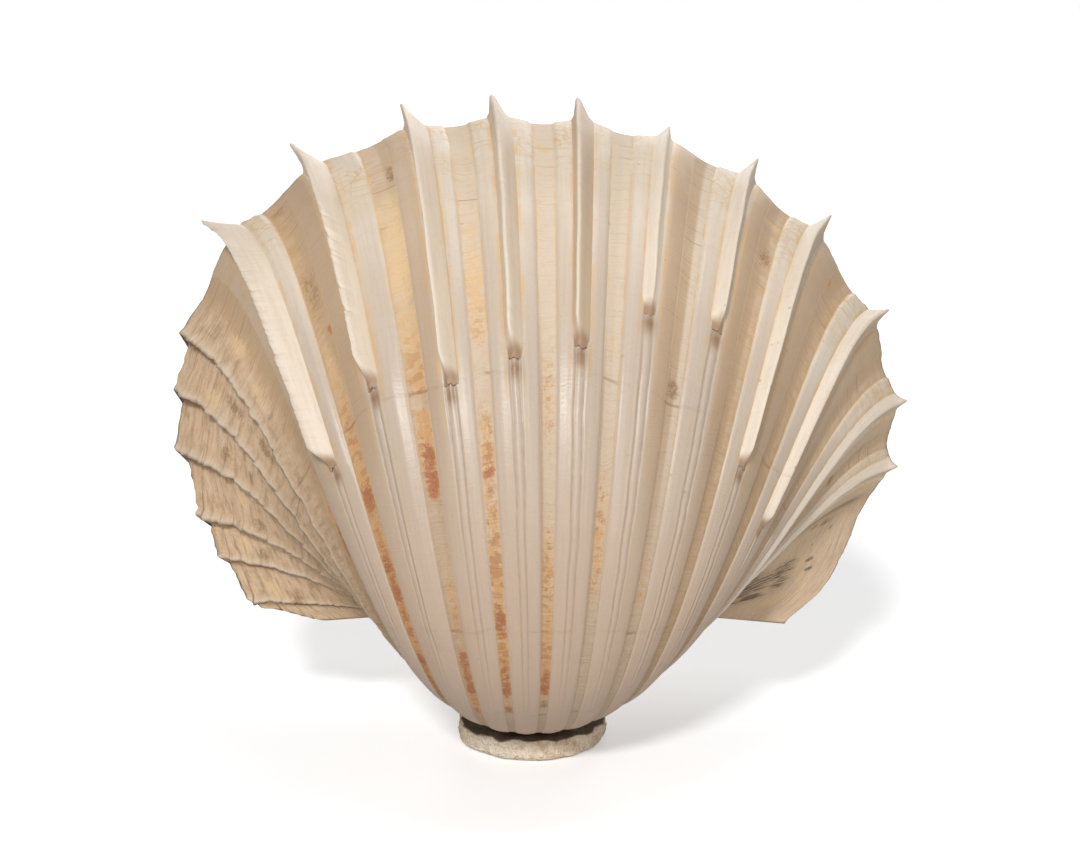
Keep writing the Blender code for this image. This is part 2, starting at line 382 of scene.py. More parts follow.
def low_ribs(angle, turn):
    """Left part of the shell: low ribs with worn scales that lean over the space below them.

    Gives the height, and how far each point leans over in degrees.
    """
    height = np.zeros_like(angle)
    lean = np.zeros_like(angle)
    crests = [rib[0] for rib in LOW_RIBS] + [SPACES[0]]
    for number, (crest, tall) in enumerate(LOW_RIBS):
        gap = crests[number + 1] - crest
        share = (angle - crest) / gap
        wave = waves(turn[:, 0], 20.0 + number, 0.21)[:, None]
        chip = waves(turn[:, 0], 40.0 + number, 0.9)[:, None]
        # Scales that rise toward the margin and end in a step
        length = 9.0 + 2.5 * (number % 3)
        scale = np.mod(turn + 4.0 * number + 5.0 * wave, length) / length
        worn = 1.18 - 0.42 * scale + 0.30 * wave + 0.16 * chip
        worn = worn * (1.0 - 0.45 * smooth(60.0, 130.0, turn))
        on_rib = (share > -0.02) & (share < 1.0)
        profile = 0.62 * smooth(0.70, 0.10, share) + 0.38 * smooth(0.16, 0.0, share)
        height += np.where(on_rib, tall * worn * profile, 0.0)
        height -= 0.26 * bump(0.86, 0.10, share)
        over = np.where(on_rib, smooth(0.16, 0.0, share), 0.0)
        over = over * (1.0 - smooth(50.0, 110.0, turn)) * (0.35 + 0.65 * smooth(0.0, 5.0, turn))
        lean -= over * gap * (0.09 + 0.08 * wave + 0.05 * chip)
    layers = np.mod(turn * 0.22 + 0.9 * sheet_waves(angle, turn, 24.0, 0.10, 0.05), 1.0)
    height += 0.34 * (1.0 - layers) * smooth(0.0, 0.10, layers) * (1.0 - smooth(50.0, 90.0, turn))
    return height, lean


def shell_relief(angle, turn):
    """Height of the shell above its spaces, in millimetres at the margin's size, and its sideways lean."""
    number, place, middle, broken_at = rib_places(angle)
    side = np.abs(place)
    rough = sheet_waves(angle, turn, 2.0, 0.35, 0.16)
    upper = 0.12 * smooth(0.98, 0.78, side) + 0.56 * smooth(0.765, 0.66, side)
    upper += 0.36 * smooth(0.70, 0.36, side)
    upper += 0.8 * side_tan_and_shade(number, place) * (1.04 * smooth(1.0, 0.36, side) - upper)
    beak = 0.06 * smooth(0.98, 0.80, side) + 0.50 * smooth(0.77, 0.62, side) + 0.38 * smooth(0.66, 0.0, side)
    toward_beak = smooth(80.0, 130.0, turn)
    ribs = upper * (1 - toward_beak) + beak * toward_beak
    # Past a broken keel its core is left as a low ridge between two fine grooves
    open_slit = smooth(broken_at - 1.0, broken_at + 1.0, turn) * (1.0 - smooth(95.0, 140.0, turn))
    wander = 0.5 + 0.5 * sheet_waves(number * 9.0, turn, 5.0, 1.0, 0.30)
    off = off_core(angle, turn, number, middle)
    ribs += open_slit * (0.06 + 0.22 * wander) * bump(0.0, 0.42, off)
    ribs -= open_slit * (0.04 + 0.14 * (1.0 - wander)) * bump(0.72, 0.22, off)
    ribs += open_slit * (0.16 - 0.10 * wander) * bump(1.10, 0.22, off)
    # The two leftmost keeled ribs keep a thicker outer layer on their right, down to a rounded end
    edge = 65.0 + 3.0 * place ** 2
    thick = (number == 0) * smooth(0.66, 0.60, side) * (angle > middle)
    ribs += 0.42 * thick * (1.0 - smooth(edge, edge + 1.2, turn))
    edge = 106.0 - 40.0 * (side - 0.30) ** 2
    thick = (number == 1) * smooth(0.62, 0.55, side) * (angle > middle + 0.6) * smooth(50.0, 60.0, turn)
    ribs += 0.50 * thick * (1.0 - smooth(edge - 0.8, edge + 0.8, turn))
    left, lean = low_ribs(angle, turn)
    slope = 0.10 * rough * smooth(72.6, 77.0, angle)
    ribs *= 1.0 - 0.35 * (1.0 - smooth(0.0, 5.0, turn)) * smooth(0.25, 0.5, side)
    relief = np.where(angle < SPACES[0] - 1.2, left, np.where(angle > SPACES[-1], slope, ribs))
    # Growth checks and the uneven growth between them
    ripple = sheet_waves(angle, turn, 9.0, 0.04, 0.9)
    fine = sheet_waves(angle, turn, 12.0, 0.10, 2.2)
    relief += 0.09 * ripple * (1.0 - 0.6 * smooth(0.6, 0.2, side)) + 0.04 * fine
    waver = 1.6 * waves(angle[0], 3.0, 0.06)[None, :]
    for line, depth in GROWTH_CHECKS:
        relief -= depth * bump(line, 0.55, turn + waver)
        raised = smooth(line + 2.5, line - 0.4, turn + waver) * smooth(line - 9.0, line, turn + waver)
        relief += 0.4 * depth * raised
    return relief, np.where(angle < SPACES[0] - 1.2, lean, 0.0)


def shell_masks(angle, turn):
    """Where the colours of the outside lie. Each mask runs from 0 to 1."""
    number, place, middle, broken_at = rib_places(angle)
    side = np.abs(place)
    off_middle = np.abs(angle - middle)
    tan_and_shade = side_tan_and_shade(number, place)
    keeled = (angle >= SPACES[0]) & (angle <= SPACES[-1])
    band = np.where(keeled, smooth(0.725, 0.765, side), 1.0)
    tint = np.array(SPACE_TINTS)[number + (place > 0)]
    line = 0.9 * bump(1.52, 0.24, off_middle) * (1.0 - 0.75 * smooth(broken_at, broken_at + 12.0, turn))
    line += 0.75 * (1.0 - 0.85 * tan_and_shade) * bump(0.745, 0.030, side) * (1.0 - 0.7 * smooth(40.0, 90.0, turn))
    # Brown in the grooves beside the cores, brown and painted shade under the keels' broken ends, and painted
    # shadow lines along the shaded sides of the ribs
    open_slit = smooth(broken_at - 1.0, broken_at + 1.5, turn) * (1.0 - smooth(95.0, 140.0, turn))
    patches = 0.5 + 0.5 * sheet_waves(number * 5.0 + np.sign(place) * 2.0, turn, 17.0, 1.0, 0.8)
    grooves_and_shade = bump(0.72, 0.17, off_core(angle, turn, number, middle)) * open_slit * (0.25 + 0.75 * patches)
    hole_stain_and_shade = bump(0.1, 0.9, off_middle) * bump(broken_at + 2.6, 1.5, turn) * (broken_at < 100.0)
    painted_edge_shadow = bump(0.77, 0.045, side) * (place > 0) * (number > 2) * smooth(45.0, 65.0, turn)
    painted_edge_shadow = painted_edge_shadow * (1.0 - 0.6 * smooth(95.0, 130.0, turn))
    last_groove = bump(71.7, 0.40, angle) * smooth(2.0, 12.0, turn)
    grooves_and_shade = np.maximum.reduce([grooves_and_shade, 1.5 * hole_stain_and_shade, 0.75 * painted_edge_shadow, 1.1 * last_groove])
    # Tan with painted shade on the rib sides that face away from the light
    faces_away = tan_and_shade * smooth(1.3, 1.7, off_middle) * (1.0 - 0.75 * smooth(50.0, 95.0, turn))
    worn = np.maximum.reduce([bump(crest + 0.15, 0.45, angle) for crest, _ in LOW_RIBS])
    # Painted shade under the scales of the low ribs, where each leans over the space below
    under = np.maximum.reduce([bump(crest - 0.55, 0.55, angle) for crest, _ in LOW_RIBS])
    under = under * (angle < SPACES[0] - 1.2) * (1.0 - smooth(60.0, 110.0, turn))
    return {
        "band": band, "tint": np.where(keeled, tint, 0.9), "keel line": np.where(keeled, line, 0.0),
        "grooves_and_shade": np.where(keeled, grooves_and_shade, 1.5 * under), "left part": smooth(SPACES[0], SPACES[0] - 3.0, angle),
        "right slope": smooth(SPACES[-1] - 0.6, SPACES[-1] + 1.5, angle),
        "tan and painted shade": np.where(keeled, faces_away, 0.0), "worn crest": np.where(keeled, 0.0, worn),
        "keel": np.zeros_like(angle), "angle": angle, "growth": turn,
    }


def grid_faces(rows, columns):
    """Four-sided faces of a table of points written row by row."""
    place = np.arange(rows * columns).reshape(rows, columns)
    corners = (place[:-1, :-1], place[:-1, 1:], place[1:, 1:], place[1:, :-1])
    return np.stack([corner.ravel() for corner in corners], 1).tolist()


def hollow_rings(columns, turns):
    """Rings of the hollow: an arc under the wall with the ribs' grooves, closed along the hinge plate."""
    across_rows, reach_rows = [], []
    share_along = (columns - columns[0]) / (columns[-1] - columns[0])
    for turn in turns:
        size = size_at(turn)
        share = turn / LAST_TURN
        wall = WALL_AT_MARGIN + (WALL_AT_BEAK - WALL_AT_MARGIN) * share
        plate = HINGE_PLATE - 1.0 * share
        ends = []
        for hand in (-1, 1):
            angle = 86.0 * hand
            for _ in range(8):
                radius = size * margin_radius(angle) - wall
                angle = hand * math.degrees(math.acos(min(0.95, (plate - size * HINGE_DROP) / radius)))
            ends.append(angle)
        angle = ends[0] + (ends[1] - ends[0]) * share_along
        groove = np.zeros_like(angle)
        for middle, *_ in KEELED:
            groove += bump(middle, 1.5, angle) * (0.25 + 0.75 * smooth(40.0, 2.0, turn)) * 0.7
        for crest, _ in LOW_RIBS:
            groove += bump(crest + 1.5, 1.5, angle) * smooth(16.0, 1.0, turn) * 0.5
        near_end = smooth(0.0, 0.06, share_along) * smooth(1.0, 0.94, share_along)
        radius = size * (margin_radius(angle) + groove * near_end) - wall
        across = radius * np.sin(np.radians(angle)) / size
        reach = radius * np.cos(np.radians(angle)) / size + HINGE_DROP
        back = np.linspace(0, 1, 22)[1:-1]
        across = np.concatenate([across, across[-1] + (across[0] - across[-1]) * back])
        reach = np.concatenate([reach, np.full(len(back), plate / size)])
        across_rows.append(across)
        reach_rows.append(reach)
    return np.array(across_rows), np.array(reach_rows)


def ragged_margin(columns):
    """How far each column's end is worn back, in degrees of turn."""
    ragged = 0.50 * waves(columns, 4.0, 0.5) + 0.42 * waves(columns, 6.0, 1.7)
    ragged += 0.22 * waves(columns, 7.0, 3.2)
    ragged *= 1.0 + 1.2 * smooth(-50.0, -60.0, columns)
    torn = 2.0 * np.maximum(0.0, waves(columns, 8.0, 0.45) - 0.1) + 0.5 * waves(columns, 18.0, 2.2)
    ragged += torn * bump(84.0, 6.0, columns)
    return ragged * smooth(-92.0, -86.0, columns) * smooth(91.0, 87.0, columns)


def shell_piece(tree, outside, inside):
    """The whole valve but its keels: ribbed outside, margin, hinge plate and hollow, as one closed mesh."""
    columns = shell_columns()
    turns = growth_rows(LAST_TURN, SHELL_ROWS)
    angle, turn = np.meshgrid(columns, turns)
    relief, lean = shell_relief(angle, turn)
    ends = smooth(LEFT_END, LEFT_END + 3.0, angle) * smooth(SLOPE_END, SLOPE_END - 3.0, angle)
    radius = margin_radius(angle) + relief * ends + 1.3 * bump(-88.5, 5.0, angle)
    seen_angle = np.radians(angle + lean * ends)
    across = radius * np.sin(seen_angle)
    reach = np.maximum(0.0, radius * np.cos(seen_angle) + HINGE_DROP)
    corner = 2.1 * (1.0 - smooth(2.0, 26.0, turn))
    reach = np.where(angle < 0.0, np.maximum(reach, corner), reach)
    reach[:, 0] = corner[:, 0]
    reach[:, -1] = 0.0
    turn = turn + ragged_margin(columns)[None, :] * (1.0 - smooth(0.0, 6.0, turn))
    faces = grid_faces(*angle.shape)

    first, last = (int(np.searchsorted(columns, end)) for end in (-HOLLOW_END, HOLLOW_END))
    last -= (last - first) % 2
    under = columns[first:last + 1:2]
    hollow_turns = growth_rows(DEEPEST_TURN, HOLLOW_ROWS, 0.6)
    hollow_across, hollow_reach = hollow_rings(under, hollow_turns)
    ring = hollow_across.shape[1]
    place = np.arange((HOLLOW_ROWS + 1) * ring).reshape(-1, ring) + angle.size
    # Deep end of the hollow: one smaller ring further on, closed by a fan
    cap_turn = DEEPEST_TURN + 4.0
    middle_across, middle_reach = hollow_across[-1].mean(), hollow_reach[-1].mean()
    cap_across = middle_across + (hollow_across[-1] - middle_across) * CAP_SIZE
    cap_reach = middle_reach + (hollow_reach[-1] - middle_reach) * CAP_SIZE
    fan_middle = np.full(ring, angle.size + place.size)
    tube = ring_faces(place)
    tube += np.stack([place[-1], fan_middle, np.roll(place[-1], -1)], 1).tolist()
    # Edge of the margin, from every second outer column to one inner column
    band = []
    for step in range(len(under) - 1):
        a, b, c = first + 2 * step, first + 2 * step + 1, first + 2 * step + 2
        p, q = int(place[0, step]), int(place[0, step + 1])
        band += [(a, p, b), (b, p, q), (b, q, c)]

    table = {
        "across": np.concatenate([across.ravel(), hollow_across.ravel(), cap_across, [middle_across]]),
        "reach": np.concatenate([reach.ravel(), hollow_reach.ravel(), cap_reach, [middle_reach]]),
        "turn": np.radians(np.concatenate([
            turn.ravel(), np.repeat(hollow_turns, ring), np.full(ring, cap_turn), [cap_turn + 3.0],
        ])),
    }
    # In the hollow, only the angle and the growth are written: along its rings, and at its deep end
    hollow_masks = {
        "angle": (np.degrees(np.arctan2(hollow_across, hollow_reach - HINGE_DROP)), 0.0),
        "growth": (np.repeat(hollow_turns, ring), DEEPEST_TURN),
    }
    for label, values in shell_masks(angle, turn).items():
        along, deep = hollow_masks.get(label, (np.zeros(hollow_across.size), 0.0))
        table[label] = np.concatenate([values.ravel(), along.ravel(), np.full(ring + 1, deep)])
    inside_faces = [False] * len(faces) + [True] * len(tube) + [False] * len(band)
    made = coiled("ribbed_shell", table, faces + tube + band, inside_faces, tree, outside, inside)

    # Hinge plate and the flat underside of the beak
    mesh = bmesh.new()
    mesh.from_mesh(made.data)
    before = set(mesh.faces)
    open_edges = [edge for edge in mesh.edges if edge.is_boundary]
    bmesh.ops.edgeloop_fill(mesh, edges=open_edges, mat_nr=1)
    plate = [face for face in mesh.faces if face not in before]
    bmesh.ops.triangulate(mesh, faces=[face for face in plate if len(face.verts) > 4])
    write_mesh(mesh, made.data)
    return made


# Keels: thin fins, broken off part of the way to the beak

# Sections of a keel: degrees across the rib, share of the height
UPRIGHT_KEEL = (
    (-1.62, -0.10), (-1.30, 0.06), (-0.92, 0.26), (-0.62, 0.56), (-0.32, 0.90), (0.00, 1.00),
    (0.32, 0.90), (0.62, 0.56), (0.92, 0.26), (1.30, 0.06), (1.62, -0.10),
)
# A keel of the right half: flat toward the shell's middle, steep on its outer side
LEANING_KEEL = (
    (-1.66, -0.08), (-1.32, 0.12), (-0.98, 0.33), (-0.62, 0.55), (-0.28, 0.77), (0.06, 0.99),
    (0.24, 0.96), (0.40, 0.62), (0.60, 0.28), (1.00, 0.05), (1.62, -0.10),
)
UNDER_KEEL = ((1.05, -0.22), (0.35, -0.26), (-0.35, -0.26), (-1.05, -0.22))
UPRIGHT_KEELS = (3, 4)
# How tan the left and right flank of each keel is, with painted shade on the flank that faces away from the
# light
FLANK_TAN_AND_SHADE = (
    (0.0, 0.1), (0.0, 0.15), (0.25, 0.3), (0.15, 0.3), (0.6, 0.75), (0.0, 0.2),
    (0.0, 0.2), (0.0, 0.7), (0.0, 0.7), (0.0, 0.7), (0.0, 0.7),
)
# Pit at a keel's end: size of each ring against the section, and how far in it lies in degrees
PIT_RINGS = ((0.66, 0.0), (0.54, 0.5), (0.38, 1.2), (0.15, 1.8))
PIT_MIDDLE = 0.34
# A keel that ends past this turn isn't broken off, but runs out
RUNS_OUT = 140.0


def keel_section(number):
    """Section of a keel. Those of the left part lean the other way."""
    if number in UPRIGHT_KEELS:
        return np.array(UPRIGHT_KEEL + UNDER_KEEL)
    if number > UPRIGHT_KEELS[-1]:
        return np.array(LEANING_KEEL + UNDER_KEEL)
    return np.array(tuple((-across, share) for across, share in LEANING_KEEL[::-1]) + UNDER_KEEL)


def keel_faces(count):
    """Faces of a keel's rows and of the pits in its two ends."""
    pits = len(PIT_RINGS)
    rings = np.arange((KEEL_ROWS + 2 * pits) * count).reshape(-1, count)
    faces = ring_faces(rings[:KEEL_ROWS])
    for outer, first_ring, turned in ((0, KEEL_ROWS, True), (KEEL_ROWS - 1, KEEL_ROWS + pits, False)):
        end = [rings[outer], *rings[first_ring:first_ring + pits]]
        end_faces = ring_faces(end) + [end[-1].tolist()[::-1]]
        faces += [face[::-1] for face in end_faces] if turned else end_faces
    return faces


def keel_piece(number, tree, outside):
    """One keel as a closed fin, from its spike on the margin to its ragged broken end with a pit in it."""
    middle, tip, tall, broken_at = KEELED[number]
    broken = broken_at < RUNS_OUT
    section = keel_section(number)
    # Each line of the section begins and ends at its own turn, so that both ends are ragged
    height_share = np.clip(section[:, 1], 0.0, 1.0)
    begin = -0.7 * height_share ** 2
    worn = waves(section[:, 0], 11.0 + number, 2.1) + 0.7 * waves(section[:, 1], 31.0 + number, 3.3)
    end = broken_at + 1.0 + 0.5 * worn + 0.4 * height_share if broken else np.full(len(section), broken_at)
    turn = begin[None, :] + (end - begin)[None, :] * np.linspace(0.0, 1.0, KEEL_ROWS)[:, None]
    across_rib = np.repeat(section[None, :, 0], KEEL_ROWS, 0)
    share = np.repeat(section[None, :, 1], KEEL_ROWS, 0)
    # A pit at each end: smaller rings about the section's middle, further and further in
    pit_turns, pit_across, pit_share = [], [], []
    for row, inward in ((0, 1.0), (KEEL_ROWS - 1, -1.0)):
        for size, deep in PIT_RINGS:
            pit_turns.append(turn[row].mean() + (turn[row] - turn[row].mean()) * size + inward * deep)
            pit_across.append(section[:, 0] * size)
            pit_share.append(PIT_MIDDLE + (section[:, 1] - PIT_MIDDLE) * size)
    turn = np.vstack([turn] + pit_turns)
    across_rib = np.vstack([across_rib] + pit_across)
    share = np.vstack([share] + pit_share)

    # How much of the keel stands: less toward the beak, and its broken end is rounded off, lower on one side
    body = 0.35 + 0.65 * np.clip((LAST_TURN - turn) / 110.0, 0.0, 1.0)
    if broken:
        slanted = 0.9 * np.sign(across_rib) * np.abs(across_rib) ** 0.5
        body = body * (1.0 - 0.74 * smooth(broken_at - 2.2 + slanted, broken_at + 0.9 + 0.4 * slanted, turn))
    else:
        body = body * (1.0 - 0.85 * smooth(60.0, broken_at, turn))
    lean = np.clip(share, 0.0, 1.0)
    # Its edge is chipped
    along = turn[:, 5]
    chips = waves(along, 50.0 + number, 0.55)
    fine_chips = waves(along, 70.0 + number, 1.9)
    chipped = 0.05 * chips + 0.04 * fine_chips + 0.025 * waves(along, 110.0 + number, 4.3)
    chipped -= 0.14 * smooth(0.40, 0.60, chips) + 0.10 * smooth(0.30, 0.55, fine_chips)
    torn = 1.9 if number < 2 else 0.7
    chipped = 1.0 + (torn * chipped)[:, None] * lean ** 3
    base = SHOULDER_HEIGHT * 0.92
    near_margin = (1.0 - smooth(0.0, 4.0, turn)) * 0.75 * lean ** 2
    height = base + (tall - base) * share * body * chipped + near_margin
    sway = 0.16 * waves(along, 90.0 + number, 0.12)[:, None] * lean
    angle = middle + (tip - middle) * lean * body + across_rib + sway
    radius = margin_radius(angle) + height

    # Painted shade in the pit at the keel's broken end
    pit = 0.8 * smooth(broken_at - 1.4, broken_at + 0.4, turn) * smooth(-0.2, 0.3, share) * broken
    for step, (_, deep) in enumerate(PIT_RINGS * 2):
        pit[KEEL_ROWS + step] = min(1.0, 0.9 * deep)
    left_tan_and_shade, right_tan_and_shade = FLANK_TAN_AND_SHADE[number]
    shaded_flanks = left_tan_and_shade * smooth(-0.1, -0.4, across_rib) + right_tan_and_shade * smooth(0.1, 0.4, across_rib)
    # Upright keels are darker toward their base: tan and painted shade where the flanks meet the rib
    if number in UPRIGHT_KEELS:
        shaded_flanks = np.maximum(shaded_flanks, 0.35 * smooth(0.55, 0.0, share) * (1.0 - 0.5 * smooth(50.0, 95.0, turn)))
    nothing = np.zeros_like(turn)
    table = {
        "across": radius * np.sin(np.radians(angle)),
        "reach": radius * np.cos(np.radians(angle)) + HINGE_DROP,
        "turn": np.radians(turn), "angle": angle, "growth": turn, "tan and painted shade": shaded_flanks, "grooves_and_shade": 1.6 * pit,
        "keel line": 0.9 * bump(-0.02, 0.10, share), "tint": np.full_like(turn, 0.45),
        "keel": smooth(-0.1, 0.15, share),
        "band": nothing, "left part": nothing, "right slope": nothing, "worn crest": nothing,
    }
    faces = keel_faces(len(section))
    made = coiled(f"keel_{number + 1}", table, faces, [False] * len(faces), tree, outside, outside)
    mesh = bmesh.new()
    mesh.from_mesh(made.data)
    write_mesh(mesh, made.data)
    return made


# The foot

def foot_piece(stone):
    """A low rough disc with worn edges, pits in its side and a round seat for the beak."""
    mesh = bmesh.new()
    rings = [(0.0, 0.0), (0.35, 0.0), (0.7, 0.0), (0.93, 0.0), (0.965, 0.06)]
    rings += [(1.0, level) for level in np.linspace(0.16, 0.86, 10)]
    rings += [(0.965, 0.95), (0.93, 1.0), (0.80, 1.0)]
    rings += [(share, 1.0) for share in np.linspace(0.7, 0.05, 12)]
    around = 160
    loops = []
    for share, level in rings[1:]:
        loop = []
        for step in range(around):
            angle = 2 * math.pi * step / around
            x, y = FOOT_RADIUS * share * math.cos(angle), FOOT_RADIUS * share * math.sin(angle)
            loop.append(mesh.verts.new((x, y, FOOT_HEIGHT * level)))
        loops.append(loop)
    for low, high in zip(loops, loops[1:]):
        for i in range(around):
            j = (i + 1) % around
            mesh.faces.new((low[i], low[j], high[j], high[i]))
    bottom = mesh.verts.new((0, 0, 0))
    top = mesh.verts.new((0, 0, FOOT_HEIGHT))
    for i in range(around):
        j = (i + 1) % around
        mesh.faces.new((bottom, loops[0][j], loops[0][i]))
        mesh.faces.new((top, loops[-1][i], loops[-1][j]))
    seat = Vector(SEAT_MIDDLE)
    for vertex in mesh.verts:
        co = vertex.co
        level = co.z / FOOT_HEIGHT
        share = math.hypot(co.x, co.y) / FOOT_RADIUS
        coarse = noise.noise(co * 0.42 + Vector((3.1, 0.4, 7.7)))
        grain = noise.noise(co * 1.5 + Vector((9.0, 2.0, 1.0)))
        fine = noise.noise(co * 3.6)
        if share > 0.9:
            push = 1.0 + (0.45 * coarse + 0.22 * grain + 0.10 * fine) / FOOT_RADIUS
            co.x *= push
            co.y *= push
        if level > 0.5:
            swell = noise.noise(Vector((co.x * 0.3, co.y * 0.3, 4.0)))
            co.z += (0.28 * swell + 0.12 * grain + 0.06 * fine) * level
        if 0.02 < level <= 0.2:
            co.z += 0.10 * grain
        away = Vector((co.x, co.y, 0)) - Vector((seat.x, seat.y, 0))
        inside = SEAT_RADIUS ** 2 - away.length_squared
        if level > 0.9 and inside > 0:
            floor_of_seat = seat.z - math.sqrt(inside)
            co.z = min(co.z, floor_of_seat)
    for vertex in mesh.verts:
        vertex.co *= 0.001
    data = bpy.data.meshes.new("stone_foot")
    write_mesh(mesh, data)
    data.materials.append(stone)
    return placed("stone_foot", data)


# Shader groups and materials

def group(name, inputs, outputs):
    """Starts a shader group of plain values: its nodes, what it is given and where its results go."""
    tree = bpy.data.node_groups.new(name, "ShaderNodeTree")
    for label, value in inputs.items():
        tree.interface.new_socket(label, in_out="INPUT", socket_type="NodeSocketFloat").default_value = value
    for label in outputs:
        tree.interface.new_socket(label, in_out="OUTPUT", socket_type="NodeSocketFloat")
    nodes = Nodes(tree)
    return nodes, nodes.node("NodeGroupInput").outputs, nodes.node("NodeGroupOutput").inputs


# Dark lines of strong growth checks: the growth turn of each, and how far it reaches to both sides
DARK_CHECKS = (
    (59.5, 0.22), (102.0, 0.35), (6.0, 0.13), (12.0, 0.13),
    (17.0, 0.14), (22.5, 0.12), (31.0, 0.10), (130.0, 0.6),
)


def growth_line_group():
    """Fine lines across the ribs, blocks that begin and end at them, and the few strong growth checks."""
    nodes, given, result = group(
        "growth lines", {"Lines": 1.0, "Seed": 0.0}, ("Line", "Blocks", "Seams", "Check", "Height"),
    )
    angle, growth = nodes.mask("angle"), nodes.mask("growth")

    def place(across, along, grown=growth):
        lined = nodes.times(grown, along, given["Lines"])
        plugs = {0: nodes.times(angle, across), 1: lined, 2: given["Seed"]}
        return nodes.node("ShaderNodeCombineXYZ", plugs).outputs[0]

    # Growth lines waver, and sag toward the beak in the browner spaces
    waver = nodes.times(nodes.less(nodes.noise(place(0.16, 0.03), 1.0, 1.0, 0.5), 0.5), 4.5)
    sag = nodes.times(nodes.mask("band"), nodes.times(nodes.mask("tint"), 0.8))
    wavy = nodes.add(nodes.add(growth, waver), sag)
    fine = nodes.noise(place(0.12, 2.4, wavy), 1.0, 4.0, 0.65)
    broad = nodes.noise(place(0.03, 0.7, wavy), 1.0, 2.0, 0.5)
    cells = {"Vector": place(0.62, 0.95, wavy), "Scale": 1.0, "Randomness": 0.85}
    cells = nodes.node("ShaderNodeTexVoronoi", cells, distance="CHEBYCHEV")
    blocks = nodes.node("ShaderNodeSeparateColor", {0: cells.outputs["Color"]})
    seams = {"Vector": place(0.55, 0.50, wavy), "Scale": 1.0}
    seams = nodes.node("ShaderNodeTexVoronoi", seams, feature="DISTANCE_TO_EDGE")
    slow = nodes.times(nodes.less(nodes.noise(place(0.07, 0.0), 1.0, 1.0, 0.5), 0.5), 8.0)
    check = 0.0
    for turn, wide in DARK_CHECKS:
        check = nodes.make("MAXIMUM", check, nodes.make("COMPARE", nodes.add(growth, slow), turn, wide))
    patchy = nodes.between(nodes.noise(place(0.16, 0.06), 1.0, 1.0, 0.5), 0.40, 0.60)
    nodes.plug(result["Line"], nodes.between(fine, 0.55, 0.68))
    nodes.plug(result["Blocks"], blocks.outputs[0])
    nodes.plug(result["Seams"], nodes.less(1.0, nodes.between(seams.outputs["Distance"], 0.015, 0.075)))
    nodes.plug(result["Check"], nodes.times(check, patchy))
    nodes.plug(result["Height"], nodes.add(nodes.times(fine, 0.6), nodes.times(broad, 0.4)))
    return nodes.tree


def grime_group():
    """Fine specks and uneven tone for the shell and the stone."""
    nodes, given, result = group("uneven tone", {"Speck size": 1.0, "Seed": 0.0}, ("Tone", "Specks", "Grain"))
    seed = nodes.node("ShaderNodeCombineXYZ", {0: given["Seed"]}).outputs[0]
    where = nodes.node("ShaderNodeTexCoord").outputs["Object"]
    where = nodes.node("ShaderNodeVectorMath", {0: where, 1: seed}, operation="ADD").outputs[0]
    specks = {"Vector": where, "Scale": nodes.make("DIVIDE", 420.0, given["Speck size"])}
    specks = nodes.node("ShaderNodeTexVoronoi", specks).outputs["Distance"]
    near = nodes.less(1.0, nodes.between(specks, 0.05, 0.13))
    rare = nodes.between(nodes.noise(where, 160.0, 1.0, 0.5), 0.55, 0.66)
    nodes.plug(result["Tone"], nodes.noise(where, 90.0, 4.0, 0.6))
    nodes.plug(result["Specks"], nodes.times(near, rare))
    nodes.plug(result["Grain"], nodes.noise(where, 1500.0, 3.0, 0.6))
    return nodes.tree


PALE_CREAM = (0.86, 0.755, 0.625)
WARM_CREAM = (0.80, 0.665, 0.51)
CREAM = (0.82, 0.71, 0.585)
MIDDLE_CREAM = (0.67, 0.56, 0.455)
BEAK_CREAM = (0.72, 0.555, 0.43)
KEEL_CREAM = (0.89, 0.77, 0.625)
FINE_LINE = (0.70, 0.50, 0.29)
BROAD_LINE = (0.74, 0.53, 0.31)
RIB_BLOCK = (0.80, 0.61, 0.38)
RIB_STREAK = (0.60, 0.48, 0.37)
PEACH = (0.80, 0.655, 0.50)
TAN = (0.62, 0.395, 0.20)
DEEP_TAN = (0.42, 0.26, 0.135)
# Tan of the rib sides, with painted shade where they face away from the light
SHADED_SIDE_TAN = (0.60, 0.415, 0.255)
PALE_SHADED_SIDE_TAN = (0.66, 0.50, 0.34)
ORANGE = (0.77, 0.42, 0.17)
PALE_ORANGE = (0.84, 0.60, 0.34)
DEEP_ORANGE = (0.60, 0.30, 0.14)
RED = (0.56, 0.22, 0.10)
DEEP_RED = (0.40, 0.14, 0.06)
BROWN = (0.36, 0.205, 0.105)
# Brown of the grooves, also used for painted shade in holes, pits and under scales and for painted shadow
# lines
GROOVE_BROWN_AND_SHADE = (0.40, 0.245, 0.14)
SLATE = (0.21, 0.165, 0.125)
DARK = (0.13, 0.095, 0.07)
LINE_ORANGE = (0.78, 0.50, 0.22)
# Multiplied with what lies below
MOTTLE_SHADE = (0.86, 0.80, 0.74)
# Painted shade toward the beak
PAINTED_BEAK_SHADE = (0.87, 0.85, 0.83)
